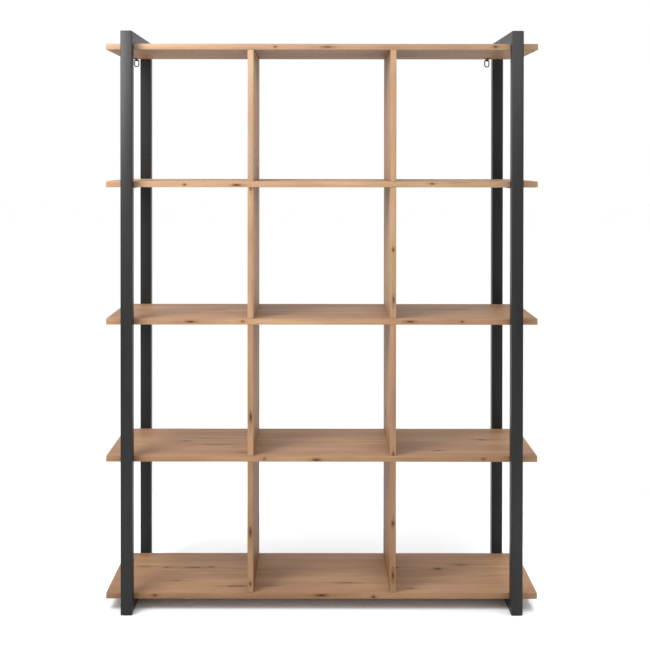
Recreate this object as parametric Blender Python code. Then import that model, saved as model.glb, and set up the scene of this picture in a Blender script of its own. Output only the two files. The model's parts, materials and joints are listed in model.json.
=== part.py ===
"""Open storage unit of cube-like bays: long boards, upright dividers and two closed steel side frames.

Metres, +Z up. The origin is on the floor under the middle of the unit. +X runs along the shelves
and the front faces -Y. The front posts stand before the boards and the rear posts behind them.
"""

import math

import bmesh
import bpy
from mathutils import Matrix, Vector

GAP = 0.0003  # air between two pieces that touch
OVERCUT = 0.001  # how far a cutter runs past the face it opens
ROUND_SIDES = 12  # sides of a dowel and of every bore
FITTING_SIDES = 16  # sides of a glide or a cap
WIRE_SIDES = 8

# Boards
BOARD = 0.018
BOARD_EDGE = 0.0008
SHELF_LENGTH = 1.294
SHELF_DEPTH = 0.334
SHELF_PITCH = 0.412
ROWS = 4
CENTRE_BAY = 0.410
OVERHANG = 0.049  # from a side frame's outer face to the end of the shelves

# Steel side frames
TUBE = 0.035
TUBE_WALL = 0.0015
TUBE_CORNER = 0.003
CORNER_STEPS = 3
BEARER_WIDTH = 0.030
BEARER_THICKNESS = 0.003
BEARER_EDGE = 0.0005

# Screws that hold the boards to the frames: only their holes are modelled
SCREW_INSET = 0.067  # from the shelf's front or rear edge
SCREW_HOLE = 0.005
PILOT_HOLE = 0.003
PILOT_DEPTH = 0.012
ACCESS_HOLE = 0.011

# Wooden dowels between shelves and dividers
DOWEL = 0.008
DOWEL_PLAY = 0.0002  # between a dowel's side and its bore
DOWEL_END_PLAY = 0.001
DOWEL_CHAMFER = 0.0008
DOWEL_IN_DIVIDER = 0.020
DOWEL_IN_SHELF = 0.011
DOWEL_INSET = 0.057  # from the shelf's front or rear edge

# Plastic floor glides
GLIDE = 0.024
GLIDE_HEAD = 0.0015
GLIDE_CHAMFER = 0.0005
GLIDE_STEM = 0.0076
GLIDE_STEM_LENGTH = 0.009
GLIDE_HOLE = 0.0082

# Plastic caps in the top rails' access holes
CAP = 0.014
CAP_HEAD = 0.0012
CAP_CHAMFER = 0.0005
CAP_SPIGOT_PLAY = 0.0002
CAP_SPIGOT_LENGTH = 0.004

# Wall hangers under the rear edge of the top shelf: a folded strap holding a wire ring
RIGHT_HANGER_INSET = 0.020  # from the right frame's inner face, inwards
LEFT_HANGER_OUTSET = 0.011  # from the left frame's outer face, outwards
STRAP_WIDTH = 0.012
STRAP_THICKNESS = 0.0012
STRAP_LENGTH = 0.045  # from the barrel's axis to the rounded end
STRAP_NECK = 0.006
STRAP_HOLE = 0.0042
STRAP_HOLE_OFFSET = 0.026  # from the barrel's axis
BARREL_WIDTH = 0.0072
BARREL_PLAY = 0.0003  # between the wire and the barrel's inside
BARREL_WRAP = math.radians(300)
BARREL_STEPS = 14
RING_WIRE = 0.0035
RING_WIDTH = 0.0175  # over the wire
RING_DROP = 0.0215  # from the top bar's axis to the bottom bend's axis
RING_CORNER = 0.003

COLOURS = {
    "oak_board": ((0.56, 0.37, 0.22), 0.5, 0.0),
    "frame_steel": ((0.045, 0.045, 0.048), 0.5, 0.3),
    "black_plastic": ((0.02, 0.02, 0.02), 0.55, 0.0),
    "beech_dowel": ((0.62, 0.45, 0.28), 0.6, 0.0),
    "hanger_steel": ((0.03, 0.03, 0.032), 0.4, 0.8),
}

# Places that follow from the sizes above
FRAME_SPAN = SHELF_LENGTH - 2 * OVERHANG
FRAME_X = (FRAME_SPAN - TUBE) / 2
POST_Y = SHELF_DEPTH / 2 + GAP + TUBE / 2
FRAME_DEPTH = 2 * POST_Y + TUBE
FRAME_BOTTOM = GLIDE_HEAD + GAP
FIRST_SHELF = FRAME_BOTTOM + TUBE + GAP
FRAME_TOP = FIRST_SHELF + ROWS * SHELF_PITCH + BOARD + GAP + TUBE
FRAME_HEIGHT = FRAME_TOP - FRAME_BOTTOM
DIVIDER_X = (CENTRE_BAY + BOARD) / 2
DOWEL_Y = SHELF_DEPTH / 2 - DOWEL_INSET
SCREW_Y = SHELF_DEPTH / 2 - SCREW_INSET
BARREL_RADIUS = RING_WIRE / 2 + BARREL_PLAY + STRAP_THICKNESS / 2
HANGER_Y = SHELF_DEPTH / 2 - BARREL_RADIUS - STRAP_THICKNESS / 2
HANGER_X = {
    "left": -(FRAME_SPAN / 2 + LEFT_HANGER_OUTSET),
    "right": FRAME_SPAN / 2 - TUBE - RIGHT_HANGER_INSET,
}

SIDES = {"left": -1, "right": 1}
FACES = {"front": -1, "rear": 1}


def clear_scene():
    for obj in list(bpy.data.objects):
        bpy.data.objects.remove(obj)


def make_material(name):
    colour, roughness, metallic = COLOURS[name]
    material = bpy.data.materials.new(name)
    material.use_nodes = True
    shader = material.node_tree.nodes["Principled BSDF"]
    shader.inputs["Base Color"].default_value = (*colour, 1)
    shader.inputs["Roughness"].default_value = roughness
    shader.inputs["Metallic"].default_value = metallic
    return material


def add_object(name, mesh, material=None, location=(0, 0, 0), turn_x=0.0, turn_z=0.0):
    """A named object of the mesh, in its material if it has one, parented to the unit's empty."""
    obj = bpy.data.objects.new(name, mesh)
    bpy.context.scene.collection.objects.link(obj)
    obj.location = location
    obj.rotation_euler = (turn_x, 0, turn_z)
    obj.parent = UNIT
    if material and not mesh.materials:
        mesh.materials.append(MATERIALS[material])
    return obj


def finish_mesh(name, bm):
    """Turns the bmesh into a mesh with its faces pointing out and its round sides smooth."""
    bmesh.ops.recalc_face_normals(bm, faces=bm.faces)
    mesh = bpy.data.meshes.new(name)
    bm.to_mesh(mesh)
    bm.free()
    mesh.shade_smooth()
    mesh.set_sharp_from_angle(angle=math.radians(35))
    return mesh


def skin(bm, loops, closed=False):
    """Joins loops of equal vertex count with quads: capped at both ends, or closed into a ring."""
    rings = [[bm.verts.new(point) for point in loop] for loop in loops]
    pairs = list(zip(rings, rings[1:]))
    if closed:
        pairs.append((rings[-1], rings[0]))
    for low, high in pairs:
        for i in range(len(low)):
            j = (i + 1) % len(low)
            bm.faces.new((low[i], low[j], high[j], high[i]))
    if not closed:
        bm.faces.new(reversed(rings[0]))
        bm.faces.new(rings[-1])


def box_mesh(name, width, depth, height):
    """A box standing on z = 0 over the origin."""
    bm = bmesh.new()
    size = Matrix.Diagonal((width, depth, height, 1))
    bmesh.ops.create_cube(bm, size=1, matrix=Matrix.Translation((0, 0, height / 2)) @ size)
    return finish_mesh(name, bm)


def turned_mesh(name, profile, sides):
    """A turned piece about Z: profile is (radius, height) points from its bottom to its top."""
    bm = bmesh.new()
    angles = [math.tau * i / sides for i in range(sides)]
    loops = [[(r * math.cos(a), r * math.sin(a), z) for a in angles] for r, z in profile]
    skin(bm, loops)
    return finish_mesh(name, bm)


def chamfer(obj, width):
    """Breaks the sharp edges of a board or bar. It comes before the bores, whose rims stay sharp."""
    modifier = obj.modifiers.new("edges", "BEVEL")
    modifier.width = width
    modifier.segments = 1
    modifier.limit_method = "ANGLE"


def drill(target, bores):
    """Cuts upright round bores, each (x, y, low z, high z, diameter), out of the target."""
    bm = bmesh.new()
    for x, y, low, high, diameter in bores:
        middle = Matrix.Translation((x, y, (low + high) / 2))
        bmesh.ops.create_cone(
            bm,
            cap_ends=True,
            segments=ROUND_SIDES,
            radius1=diameter / 2,
            radius2=diameter / 2,
            depth=high - low,
            matrix=middle,
        )
    cutter = add_object(target.name + "_cutter", finish_mesh(target.name + "_bores", bm))
    cutter.hide_render = True
    cutter.display_type = "WIRE"
    modifier = target.modifiers.new("bores", "BOOLEAN")
    modifier.operation = "DIFFERENCE"
    modifier.solver = "EXACT"
    modifier.object = cutter


def shelf_bottom(level):
    """Height of a shelf's underside: level 0 is the bottom shelf and level ROWS the top one."""
    return FIRST_SHELF + level * SHELF_PITCH


def shelf_name(level):
    return {0: "bottom_shelf", ROWS: "top_shelf"}.get(level, f"shelf_{level + 1}")


# ---------------------------------------------------------------- steel side frames


def square_section(side, corner):
    """Points (across, outward) round a square with rounded corners, anticlockwise."""
    points = []
    for quarter in range(4):
        middle = math.radians(45 + 90 * quarter)
        cx = math.copysign(side / 2 - corner, math.cos(middle))
        cy = math.copysign(side / 2 - corner, math.sin(middle))
        for step in range(CORNER_STEPS + 1):
            angle = math.radians(90 * (quarter + step / CORNER_STEPS))
            points.append((cx + corner * math.cos(angle), cy + corner * math.sin(angle)))
    return points


def mitred_tube_mesh(name, length):
    """A hollow tube along Z, centred, its long side facing +Y and both ends cut at 45 degrees.

    The ends stop short of the mitre planes, so that two tubes at a corner leave a gap.
    """
    bm = bmesh.new()
    half_gap = GAP / math.sqrt(2)
    outer = square_section(TUBE, TUBE_CORNER)
    inner = square_section(TUBE - 2 * TUBE_WALL, max(TUBE_CORNER - TUBE_WALL, TUBE_WALL / 2))

    def end(section, sign):
        return [(x, y, sign * (length / 2 - (TUBE / 2 - y) - half_gap)) for x, y in section]

    skin(bm, [end(outer, -1), end(outer, 1), end(inner, 1), end(inner, -1)], closed=True)
    return finish_mesh(name, bm)


def make_posts(side):
    for face, sign in FACES.items():
        place = (SIDES[side] * FRAME_X, sign * POST_Y, (FRAME_BOTTOM + FRAME_TOP) / 2)
        turn = 0 if face == "rear" else math.pi
        add_object(f"{side}_{face}_post", POST_MESH, "frame_steel", place, turn_z=turn)


def make_bottom_rail(side):
    """The rail on the floor, bored for the glides' stems and for screws driven up into the bottom shelf."""
    x = SIDES[side] * FRAME_X
    middle = FRAME_BOTTOM + TUBE / 2
    rail = add_object(f"{side}_bottom_rail", BOTTOM_RAIL_MESH, "frame_steel", (x, 0, middle), -math.pi / 2)
    under = FRAME_BOTTOM - OVERCUT
    bores = []
    for sign in FACES.values():
        bores.append((x, sign * POST_Y, under, middle, GLIDE_HOLE))
        bores.append((x, sign * SCREW_Y, under, middle, ACCESS_HOLE))
        bores.append((x, sign * SCREW_Y, middle + OVERCUT, FIRST_SHELF + OVERCUT, SCREW_HOLE))
    drill(rail, bores)


def make_top_rail(side):
    """The rail over the top shelf, bored for screws driven down into that shelf."""
    x = SIDES[side] * FRAME_X
    middle = FRAME_TOP - TUBE / 2
    rail = add_object(f"{side}_top_rail", TOP_RAIL_MESH, "frame_steel", (x, 0, middle), math.pi / 2)
    under = FRAME_TOP - TUBE - OVERCUT
    bores = []
    for sign in FACES.values():
        bores.append((x, sign * SCREW_Y, middle, FRAME_TOP + OVERCUT, ACCESS_HOLE))
        bores.append((x, sign * SCREW_Y, under, middle - OVERCUT, SCREW_HOLE))
    drill(rail, bores)


def make_bearer(side, level):
    """A flat bar between the two posts that carries one shelf, with its two screw holes."""
    x = SIDES[side] * FRAME_X
    low = shelf_bottom(level) - GAP - BEARER_THICKNESS
    bearer = add_object(f"{side}_bearer_{shelf_name(level)}", BEARER_MESH, "frame_steel", (x, 0, low))
    chamfer(bearer, BEARER_EDGE)
    high = low + BEARER_THICKNESS + OVERCUT
    drill(bearer, [(x, sign * SCREW_Y, low - OVERCUT, high, SCREW_HOLE) for sign in FACES.values()])


# ---------------------------------------------------------------- boards and dowels


def make_shelf(level):
    """One long board with its dowel bores and the pilot holes of the screws that hold it."""
    low = shelf_bottom(level)
    high = low + BOARD
    shelf = add_object(shelf_name(level), SHELF_MESH, "oak_board", (0, 0, low))
    chamfer(shelf, BOARD_EDGE)
    dowel_low = low - OVERCUT if level > 0 else high - DOWEL_IN_SHELF - DOWEL_END_PLAY
    dowel_high = high + OVERCUT if level < ROWS else low + DOWEL_IN_SHELF + DOWEL_END_PLAY
    if level == ROWS:
        pilot_low, pilot_high = high - PILOT_DEPTH, high + OVERCUT
    else:
        pilot_low, pilot_high = low - OVERCUT, low + PILOT_DEPTH
    bores = []
    for side in SIDES.values():
        for face in FACES.values():
            bore = DOWEL + 2 * DOWEL_PLAY
            bores.append((side * DIVIDER_X, face * DOWEL_Y, dowel_low, dowel_high, bore))
            bores.append((side * FRAME_X, face * SCREW_Y, pilot_low, pilot_high, PILOT_HOLE))
    if level == ROWS:
        strap_y = HANGER_Y - STRAP_HOLE_OFFSET
        bores += [(x, strap_y, low - OVERCUT, low + PILOT_DEPTH, PILOT_HOLE) for x in HANGER_X.values()]
    drill(shelf, bores)


def make_divider(row, side):
    """One upright board between two shelves, with dowel bores in both ends."""
    low = shelf_bottom(row - 1) + BOARD + GAP
    high = shelf_bottom(row) - GAP
    x = SIDES[side] * DIVIDER_X
    divider = add_object(f"divider_row{row}_{side}", DIVIDER_MESH, "oak_board", (x, 0, low))
    chamfer(divider, BOARD_EDGE)
    depth = DOWEL_IN_DIVIDER + DOWEL_END_PLAY
    bores = []
    for face in FACES.values():
        bores.append((x, face * DOWEL_Y, low - OVERCUT, low + depth, DOWEL + 2 * DOWEL_PLAY))
        bores.append((x, face * DOWEL_Y, high - depth, high + OVERCUT, DOWEL + 2 * DOWEL_PLAY))
    drill(divider, bores)


def make_dowel(level, side, face):
    """A dowel through a middle shelf into both dividers, or from an end shelf into one divider."""
    low = shelf_bottom(level) - DOWEL_IN_DIVIDER
    high = shelf_bottom(level) + BOARD + DOWEL_IN_DIVIDER
    if level == 0:
        low = shelf_bottom(level) + BOARD - DOWEL_IN_SHELF
    if level == ROWS:
        high = shelf_bottom(level) + DOWEL_IN_SHELF
    radius = DOWEL / 2
    length = high - low
    profile = [
        (radius - DOWEL_CHAMFER, 0),
        (radius, DOWEL_CHAMFER),
        (radius, length - DOWEL_CHAMFER),
        (radius - DOWEL_CHAMFER, length),
    ]
    name = f"dowel_{shelf_name(level)}_{side}_{face}"
    place = (SIDES[side] * DIVIDER_X, FACES[face] * DOWEL_Y, low)
    add_object(name, turned_mesh(name, profile, ROUND_SIDES), "beech_dowel", place)


# ---------------------------------------------------------------- small fittings


def glide_mesh():
    """A floor glide: its flat head stands on z = 0 and its stem rises into the bottom rail."""
    head, stem = GLIDE / 2, GLIDE_STEM / 2
    top = GLIDE_HEAD + GAP + GLIDE_STEM_LENGTH
    profile = [
        (head - GLIDE_CHAMFER, 0),
        (head, GLIDE_CHAMFER),
        (head, GLIDE_HEAD),
        (stem, GLIDE_HEAD),
        (stem, top - GLIDE_CHAMFER),
        (stem - GLIDE_CHAMFER, top),
    ]
    return turned_mesh("glide", profile, FITTING_SIDES)


def cap_mesh():
    """A cover cap: its spigot hangs below z = 0 and its domed head lies above."""
    head, spigot = CAP / 2, ACCESS_HOLE / 2 - CAP_SPIGOT_PLAY
    profile = [
        (spigot, -CAP_SPIGOT_LENGTH),
        (spigot, 0),
        (head, 0),
        (head, CAP_HEAD - CAP_CHAMFER),
        (head - CAP_CHAMFER, CAP_HEAD),
    ]
    return turned_mesh("cap", profile, FITTING_SIDES)


def strap_stations():
    """(y, z, direction angle, half width) along the strap's middle, from its rounded end round the barrel.

    The angle is measured in the YZ plane from +Y, and turns negative as the strap wraps down.
    """
    half = STRAP_WIDTH / 2
    stations = []
    for degrees in (25, 45, 65, 90):
        angle = math.radians(degrees)
        y = -STRAP_LENGTH + half * (1 - math.cos(angle))
        stations.append((y, BARREL_RADIUS, 0.0, half * math.sin(angle)))
    neck_start = -BARREL_RADIUS - STRAP_NECK
    stations.append((neck_start, BARREL_RADIUS, 0.0, half))
    stations.append((-BARREL_RADIUS, BARREL_RADIUS, 0.0, BARREL_WIDTH / 2))
    for step in range(BARREL_STEPS + 1):
        angle = BARREL_WRAP * step / BARREL_STEPS
        y = BARREL_RADIUS * math.sin(angle)
        z = BARREL_RADIUS * math.cos(angle)
        stations.append((y, z, -angle, BARREL_WIDTH / 2))
    return stations


def strap_mesh():
    """The strap as a flat strip with its rear end rolled round the ring's top bar."""
    bm = bmesh.new()
    loops = []
    for y, z, angle, half in strap_stations():
        middle = Vector((0, y, z))
        across = Vector((half, 0, 0))
        through = Vector((0, -math.sin(angle), math.cos(angle))) * STRAP_THICKNESS / 2
        lower = [middle - across - through, middle + across - through]
        upper = [middle + across + through, middle - across + through]
        loops.append(lower + upper)
    skin(bm, loops)
    return finish_mesh("strap", bm)


def ring_path():
    """(x, z, outward angle) round the ring's centreline, with the top bar's middle at the origin."""
    half = (RING_WIDTH - RING_WIRE) / 2
    corners = (
        (half - RING_CORNER, -RING_CORNER, RING_CORNER, 90, 0, 3),
        (0, half - RING_DROP, half, 0, -180, 12),
        (RING_CORNER - half, -RING_CORNER, RING_CORNER, 180, 90, 3),
    )
    path = []
    for cx, cz, radius, start, end, steps in corners:
        for step in range(steps + 1):
            angle = math.radians(start + (end - start) * step / steps)
            path.append((cx + radius * math.cos(angle), cz + radius * math.sin(angle), angle))
    return path


def ring_mesh():
    """Round wire swept along the ring's path."""
    bm = bmesh.new()
    loops = []
    for x, z, outward in ring_path():
        loop = []
        for side in range(WIRE_SIDES):
            angle = math.tau * side / WIRE_SIDES
            away = math.cos(angle) * RING_WIRE / 2
            aside = math.sin(angle) * RING_WIRE / 2
            loop.append((x + away * math.cos(outward), aside, z + away * math.sin(outward)))
        loops.append(loop)
    skin(bm, loops, closed=True)
    return finish_mesh("ring", bm)


def make_hanger(side):
    """The strap under the top shelf and the ring that swings in its barrel, both on the barrel's axis."""
    z = shelf_bottom(ROWS) - GAP - STRAP_THICKNESS / 2 - BARREL_RADIUS
    place = (HANGER_X[side], HANGER_Y, z)
    strap = add_object(f"{side}_hanger_strap", STRAP_MESH, "hanger_steel", place)
    hole = (HANGER_X[side], HANGER_Y - STRAP_HOLE_OFFSET, z, shelf_bottom(ROWS) + OVERCUT, STRAP_HOLE)
    drill(strap, [hole])
    add_object(f"{side}_hanger_ring", RING_MESH, "hanger_steel", place)


def make_frame_fittings(side):
    """The floor glides and the screw-hole caps of one side frame."""
    x = SIDES[side] * FRAME_X
    for face, sign in FACES.items():
        add_object(f"{side}_{face}_glide", GLIDE_MESH, "black_plastic", (x, sign * POST_Y, 0))
        place = (x, sign * SCREW_Y, FRAME_TOP + GAP)
        add_object(f"{side}_{face}_cap", CAP_MESH, "black_plastic", place)


clear_scene()
MATERIALS = {name: make_material(name) for name in COLOURS}
UNIT = bpy.data.objects.new("storage_unit", None)
bpy.context.scene.collection.objects.link(UNIT)

POST_MESH = mitred_tube_mesh("post", FRAME_HEIGHT)
BOTTOM_RAIL_MESH = mitred_tube_mesh("bottom_rail", FRAME_DEPTH)
TOP_RAIL_MESH = mitred_tube_mesh("top_rail", FRAME_DEPTH)
BEARER_MESH = box_mesh("bearer", BEARER_WIDTH, SHELF_DEPTH, BEARER_THICKNESS)
SHELF_MESH = box_mesh("shelf", SHELF_LENGTH, SHELF_DEPTH, BOARD)
DIVIDER_MESH = box_mesh("divider", BOARD, SHELF_DEPTH, SHELF_PITCH - BOARD - 2 * GAP)
GLIDE_MESH = glide_mesh()
CAP_MESH = cap_mesh()
STRAP_MESH = strap_mesh()
RING_MESH = ring_mesh()

for one_side in SIDES:
    make_posts(one_side)
    make_bottom_rail(one_side)
    make_top_rail(one_side)
    for one_level in range(1, ROWS):
        make_bearer(one_side, one_level)
    make_frame_fittings(one_side)
    make_hanger(one_side)
    for one_row in range(1, ROWS + 1):
        make_divider(one_row, one_side)
for one_level in range(ROWS + 1):
    make_shelf(one_level)
    for one_side in SIDES:
        for one_face in FACES:
            make_dowel(one_level, one_side, one_face)
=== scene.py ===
"""Looks of an open storage unit: oak-decor boards between two closed frames of powder-coated tube.

Metres, +Z up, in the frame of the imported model. +X runs along the shelves and the front faces -Y.
"""

import json
import logging
import math
from collections.abc import Callable, Iterator, Sequence
from contextlib import contextmanager
from dataclasses import dataclass
from enum import Enum
from itertools import product

import bmesh
import bpy
from bpy.types import Material, Node, NodeSocket, NodeTree, Object
from mathutils import Matrix, Vector

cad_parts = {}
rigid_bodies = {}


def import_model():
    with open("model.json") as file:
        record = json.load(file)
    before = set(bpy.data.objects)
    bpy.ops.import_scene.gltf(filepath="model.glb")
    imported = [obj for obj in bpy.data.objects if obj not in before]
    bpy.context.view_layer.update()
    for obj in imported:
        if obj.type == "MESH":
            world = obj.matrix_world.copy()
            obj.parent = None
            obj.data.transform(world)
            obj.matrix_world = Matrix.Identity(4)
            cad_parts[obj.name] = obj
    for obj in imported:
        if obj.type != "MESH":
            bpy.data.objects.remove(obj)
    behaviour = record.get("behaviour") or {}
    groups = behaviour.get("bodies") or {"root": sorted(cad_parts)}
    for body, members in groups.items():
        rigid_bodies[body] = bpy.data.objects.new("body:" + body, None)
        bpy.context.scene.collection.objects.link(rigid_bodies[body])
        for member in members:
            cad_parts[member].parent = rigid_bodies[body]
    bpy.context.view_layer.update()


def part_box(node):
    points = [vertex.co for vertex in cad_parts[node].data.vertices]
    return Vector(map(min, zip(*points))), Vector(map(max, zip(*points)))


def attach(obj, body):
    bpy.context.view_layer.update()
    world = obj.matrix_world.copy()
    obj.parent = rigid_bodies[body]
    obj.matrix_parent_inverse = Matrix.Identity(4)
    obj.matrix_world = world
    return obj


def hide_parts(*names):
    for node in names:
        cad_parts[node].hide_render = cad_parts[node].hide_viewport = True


LOG = logging.getLogger("storage_unit")
BODY = "unit"
LEVELS = ("bottom_shelf", "shelf_2", "shelf_3", "shelf_4", "top_shelf")
SIDES = ("left", "right")
FACES = ("front", "rear")
ROWS = (1, 2, 3, 4)
GRAIN = "grain"
# How much a step between two faces' slices counts in a knot's reach, so that it stays on its own face.
FACE_APART = 10.0
# How far a cutter stands out of what it cuts.
OVERCUT = 0.001


# ---------- modelling moves


class Pick(Enum):
    """What a test in edit mode selects."""

    VERTEX = "VERT"
    EDGE = "EDGE"
    FACE = "FACE"

    def parts(self, mesh: bmesh.types.BMesh) -> Iterator[tuple]:
        """Each part of this kind, with what a test is shown of it."""
        if self is Pick.VERTEX:
            return ((part, (part.co,)) for part in mesh.verts)
        if self is Pick.EDGE:
            return ((part, (part.verts[0].co, part.verts[1].co)) for part in mesh.edges)
        return ((part, (part.calc_center_median(), part.normal)) for part in mesh.faces)


def only(piece: Object) -> None:
    """Makes the piece the one selected and active object."""
    bpy.ops.object.select_all(action="DESELECT")
    piece.select_set(True)
    bpy.context.view_layer.objects.active = piece


@contextmanager
def editing(piece: Object) -> Iterator[None]:
    """Edit mode on one piece, with nothing selected at the start."""
    only(piece)
    bpy.ops.object.mode_set(mode="EDIT")
    bpy.ops.mesh.select_all(action="DESELECT")
    yield
    bpy.ops.object.mode_set(mode="OBJECT")


def choose(piece: Object, pick: Pick, test: Callable[..., bool]) -> None:
    """Selects just the parts of a piece in edit mode that pass a test.

    Args:
        piece: the mesh object.
        pick: the kind of part.
        test: is shown a vertex's place, an edge's two ends, or a face's centre and normal.
    """
    bpy.ops.mesh.select_mode(type=pick.value)
    mesh = bmesh.from_edit_mesh(piece.data)
    for part, shown in pick.parts(mesh):
        part.select_set(test(*shown))
    mesh.select_flush_mode()
    bmesh.update_edit_mesh(piece.data)


def extrude(x: float, y: float, z: float) -> None:
    """Extrudes the selection and moves it."""
    bpy.ops.mesh.extrude_region_move(TRANSFORM_OT_translate={"value": (x, y, z)})


def draw_out(piece: Object, up: int, margin: float, steps: tuple) -> None:
    """Insets the face that looks up or down and draws it out, in edit mode.

    Args:
        piece: the mesh object.
        up: 1 for the face that looks up, or -1.
        margin: how far it is inset.
        steps: each step's rise, and how much it spreads or narrows the face.
    """
    choose(piece, Pick.FACE, lambda centre, normal: normal.z * up > 0.9)
    bpy.ops.mesh.inset(thickness=margin)
    for rise, spread in steps:
        extrude(0, 0, rise * up)
        bpy.ops.transform.resize(value=(spread, spread, 1.0))


def round_rim(piece: Object, height: float, width: float, segments: int) -> None:
    """Rounds the edges that lie at one height, in edit mode."""
    choose(piece, Pick.EDGE, lambda *ends: all(abs(end.z - height) < 1e-5 for end in ends))
    bpy.ops.mesh.bevel(offset=width, segments=segments, profile=0.5)


def close_up(threshold: float) -> None:
    """Merges doubled vertices of the whole piece in edit mode and turns its faces outwards."""
    bpy.ops.mesh.select_all(action="SELECT")
    bpy.ops.mesh.remove_doubles(threshold=threshold)
    bpy.ops.mesh.normals_make_consistent(inside=False)


def primitive(
    name: str, add: Callable[..., set], stretch: tuple | None = None, **settings: object
) -> Object:
    """A new primitive with its place, turn and scale written into its mesh.

    Args:
        name: the piece's name.
        add: the operator that adds it.
        stretch: how far it is drawn out along each world axis, or nothing.
        settings: the operator's settings.

    Returns:
        The new mesh object, the only one selected.
    """
    bpy.ops.object.select_all(action="DESELECT")
    add(**settings)
    if stretch:
        bpy.ops.transform.resize(value=stretch)
    piece = bpy.context.active_object
    piece.name = name
    bpy.ops.object.transform_apply(location=True, rotation=True, scale=True)
    return piece


def block(name: str, low: Vector, high: Vector) -> Object:
    """A box between its lowest and its highest corner, to be shaped further."""
    middle = (low + high) / 2
    return primitive(name, bpy.ops.mesh.primitive_cube_add, size=1, location=middle, scale=high - low)


def sheet(name: str, middle: Vector, width: float, height: float, upright: bool = False) -> Object:
    """A flat rectangle across X, to be bent or bevelled further.

    Args:
        name: the piece's name.
        middle: its centre.
        width: its size along X.
        height: its size along Y, or along Z when it's upright.
        upright: whether it faces -Y.

    Returns:
        The new mesh object.
    """
    turn = (math.pi / 2, 0, 0) if upright else (0, 0, 0)
    stretch = (width, 1, height) if upright else (width, height, 1)
    add = bpy.ops.mesh.primitive_plane_add
    return primitive(name, add, stretch, size=1, location=middle, rotation=turn)


def rod(name: str, start: Vector, end: Vector, radius: float, sides: int) -> Object:
    """A round bar between the middles of its ends, to be shaped further.

    Args:
        name: the piece's name.
        start: the middle of its first end.
        end: the middle of its other end.
        radius: its radius.
        sides: how many sides stand for its round.

    Returns:
        The new mesh object.
    """
    run = end - start
    middle, turn = (start + end) / 2, run.to_track_quat("Z", "Y").to_euler()
    size = {"vertices": sides, "radius": radius, "depth": run.length}
    return primitive(name, bpy.ops.mesh.primitive_cylinder_add, location=middle, rotation=turn, **size)


def pin(at: Vector, start: float, end: float, radius: float, sides: int, name: str = "pin") -> Object:
    """A round bar that runs over a point from one height to another."""
    return rod(name, Vector((at.x, at.y, start)), Vector((at.x, at.y, end)), radius, sides)


def join(pieces: list[Object]) -> Object:
    """Joins meshes into the first of them and returns it."""
    bpy.ops.object.select_all(action="DESELECT")
    for piece in pieces:
        piece.select_set(True)
    bpy.context.view_layer.objects.active = pieces[0]
    if len(pieces) > 1:
        bpy.ops.object.join()
    return pieces[0]


def cut(piece: Object, cutters: list[Object]) -> None:
    """Cuts the cutters' shapes out of the piece and removes them."""
    cutter = join(cutters)
    modifier = piece.modifiers.new("cut", "BOOLEAN")
    modifier.operation = "DIFFERENCE"
    modifier.solver = "EXACT"
    modifier.object = cutter
    apply_modifiers(piece)
    bpy.data.objects.remove(cutter)


def apply_modifiers(piece: Object) -> None:
    """Applies every modifier of the piece in order."""
    only(piece)
    for modifier in list(piece.modifiers):
        bpy.ops.object.modifier_apply(modifier=modifier.name)


def round_edges(piece: Object, width: float, segments: int, angle: float = 40.0) -> None:
    """Rounds the piece's sharp edges with an applied Bevel.

    Args:
        piece: the mesh object.
        width: how far the rounding reaches.
        segments: how many faces it takes.
        angle: the least angle, in degrees, of an edge that is rounded.
    """
    modifier = piece.modifiers.new("edges", "BEVEL")
    modifier.width = width
    modifier.segments = segments
    modifier.limit_method = "ANGLE"
    modifier.angle_limit = math.radians(angle)
    apply_modifiers(piece)


def smooth(piece: Object, angle: float = 30.0) -> None:
    """Shades the piece smooth, with edges sharper than the angle in degrees kept crisp."""
    only(piece)
    bpy.ops.object.shade_smooth_by_angle(angle=math.radians(angle))


def copy_piece(master: Object, name: str, offset: Vector, flip: bool = False) -> Object:
    """A copy with its own mesh, moved by the offset.

    Args:
        master: the piece to copy, made at the origin.
        name: the copy's name.
        offset: where the copy's origin goes.
        flip: whether the copy is turned upside down about X first.

    Returns:
        The new piece.
    """
    piece = master.copy()
    piece.data = master.data.copy()
    piece.name = name
    bpy.context.scene.collection.objects.link(piece)
    turn = Matrix.Rotation(math.pi, 4, "X") if flip else Matrix.Identity(4)
    piece.data.transform(Matrix.Translation(offset) @ turn)
    return piece


def middle_of(node: str) -> Vector:
    """The centre of a CAD node's box."""
    low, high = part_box(node)
    return (low + high) / 2


def fit(
    piece: Object, finish: tuple[Material, str], nodes: Sequence[str] = (), body: str = BODY
) -> None:
    """Dresses a finished piece and hangs it in the model.

    Args:
        piece: the finished mesh object.
        finish: its material, and the record's slot for it, which is not used.
        nodes: the CAD nodes that it stands for, or none.
        body: the CAD body that it rides on.
    """
    material, slot = finish
    piece.data.materials.clear()
    piece.data.materials.append(material)
    if nodes:
        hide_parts(*nodes)
    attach(piece, body)
    LOG.info("%s: %d faces on %s", piece.name, len(piece.data.polygons), body)


# ---------- finishes


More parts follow.
